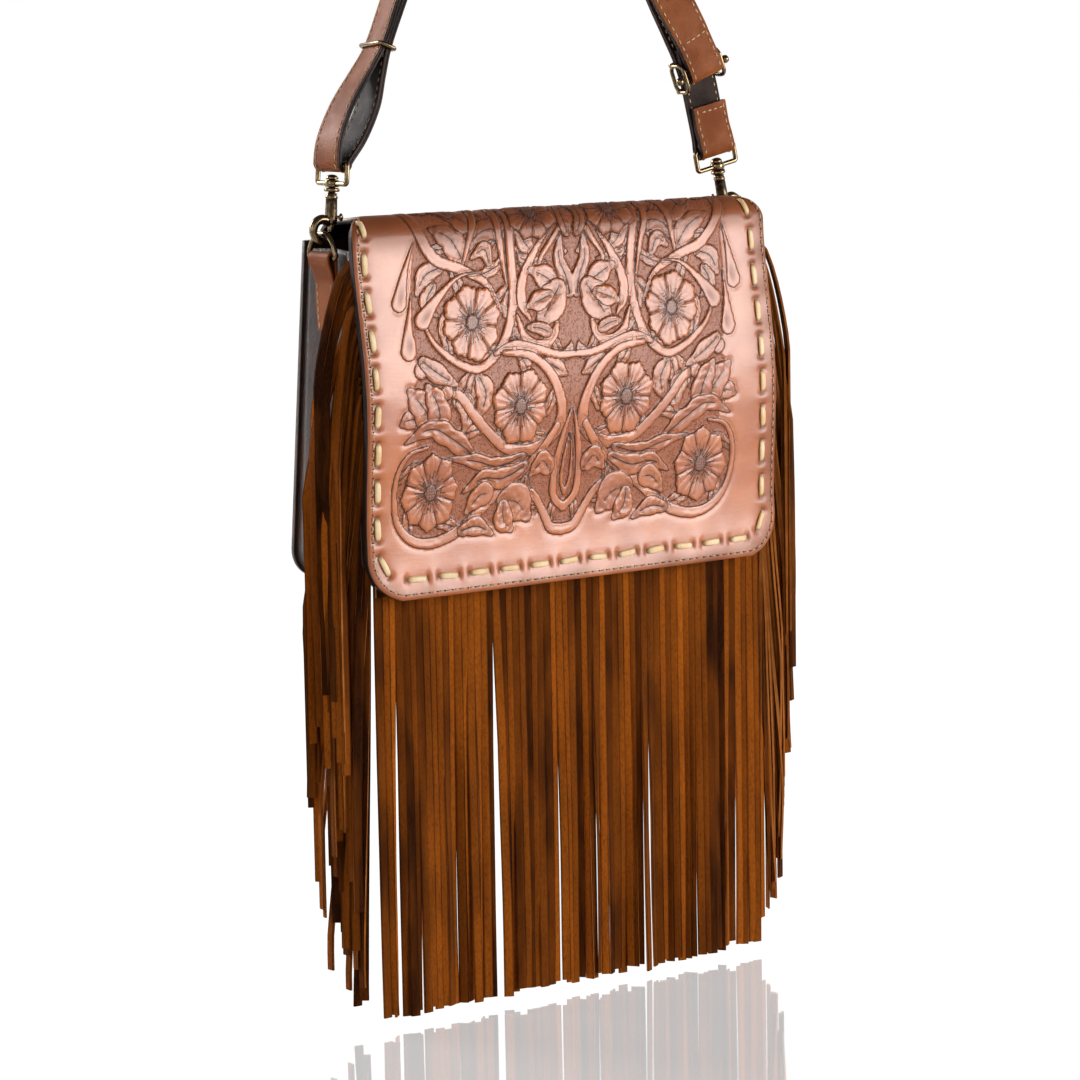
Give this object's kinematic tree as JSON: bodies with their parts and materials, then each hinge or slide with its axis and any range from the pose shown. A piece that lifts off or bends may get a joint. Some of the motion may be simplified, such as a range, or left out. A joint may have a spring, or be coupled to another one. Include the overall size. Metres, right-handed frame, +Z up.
{
  "type": "fringed crossbody bag",
  "caption": "Flap-over leather crossbody bag with a floral tooled flap laced along its edge, long suede fringe below and down the sides, and a clip-on strap.",
  "frame": {"origin": "middle of the underside of the strap where it hangs", "axes": "+X to the right of someone facing the flap, -Y out of the flap, +Z up"},
  "size_m": [0.3046, 0.0858, 0.7102],
  "materials": {
    "tooled_leather": "carved and stained, satin",
    "strap_leather": "smooth, satin",
    "dark_leather": "fine grain, satin",
    "suede": "napped, matt",
    "rawhide": "smooth, matt",
    "brass": "antique, polished on edges",
    "spring_steel": "bright"
  },
  "bodies": {
    "strap": {"strap": "strap_leather", "strap_lining": "dark_leather", "slider_frame": "brass", "slider_bar": "brass", "strap_eye_left": "brass", "strap_eye_right": "brass"},
    "keeper": {"strap_keeper": "brass"},
    "bag": {"back_panel": "dark_leather", "front_panel": "dark_leather", "gusset": "dark_leather", "flap_top": "tooled_leather", "flap_top_lining": "dark_leather", "snap_socket": "brass", "fringe_front": "suede", "fringe_left": "suede", "fringe_right": "suede", "ring_tab_left": "dark_leather", "ring_tab_right": "dark_leather"},
    "flap": {"flap_front": "tooled_leather", "flap_front_lining": "dark_leather", "flap_lace": "rawhide", "snap_stud": "brass"},
    "hook_left": {"hook_left": "brass", "hook_spring_left": "spring_steel"},
    "bolt_left": {"hook_bolt_left": "brass"},
    "ring_left": {"d_ring_left": "brass"},
    "hook_right": {"hook_right": "brass", "hook_spring_right": "spring_steel"},
    "bolt_right": {"hook_bolt_right": "brass"},
    "ring_right": {"d_ring_right": "brass"}
  },
  "joints": [
    {"name": "bag_swing", "type": "hinge", "parent": "strap", "child": "bag", "pos_m": [0, 0.003, -0.28395], "axis": [1, 0, 0], "range_deg": [-30, 30]},
    {"name": "flap_lift", "type": "hinge", "parent": "bag", "child": "flap", "pos_m": [0, -0.011, -0.26185], "axis": [-1, 0, 0], "range_deg": [0, 110]},
    {"name": "keeper_slide", "type": "slide", "parent": "strap", "child": "keeper", "axis": [0.4027, 0, 0.9153], "range_m": [0, 0.02]},
    {"name": "hook_left_swivel", "type": "hinge", "parent": "strap", "child": "hook_left", "pos_m": [-0.13691, 0.003, -0.26973], "axis": [0.0698, 0, 0.9976], "range_deg": [-10, 10]},
    {"name": "bolt_left_slide", "type": "slide", "parent": "hook_left", "child": "bolt_left", "axis": [0.0698, 0, 0.9976], "range_m": [0, 0.005], "stiffness_N_per_m": 300, "springref_m": -0.004, "deforming": ["hook_spring_left"]},
    {"name": "ring_left_tilt", "type": "hinge", "parent": "bag", "child": "ring_left", "pos_m": [-0.1424, 0.003, -0.28395], "axis": [0, 1, 0], "range_deg": [-3, 3]},
    {"name": "hook_right_swivel", "type": "hinge", "parent": "strap", "child": "hook_right", "pos_m": [0.13702, 0.003, -0.27049], "axis": [-0.2079, 0, 0.9781], "range_deg": [-10, 10]},
    {"name": "bolt_right_slide", "type": "slide", "parent": "hook_right", "child": "bolt_right", "axis": [-0.2079, 0, 0.9781], "range_m": [0, 0.005], "stiffness_N_per_m": 300, "springref_m": -0.004, "deforming": ["hook_spring_right"]},
    {"name": "ring_right_tilt", "type": "hinge", "parent": "bag", "child": "ring_right", "pos_m": [0.1424, 0.003, -0.28395], "axis": [0, 1, 0], "range_deg": [-3, 3]}
  ]
}
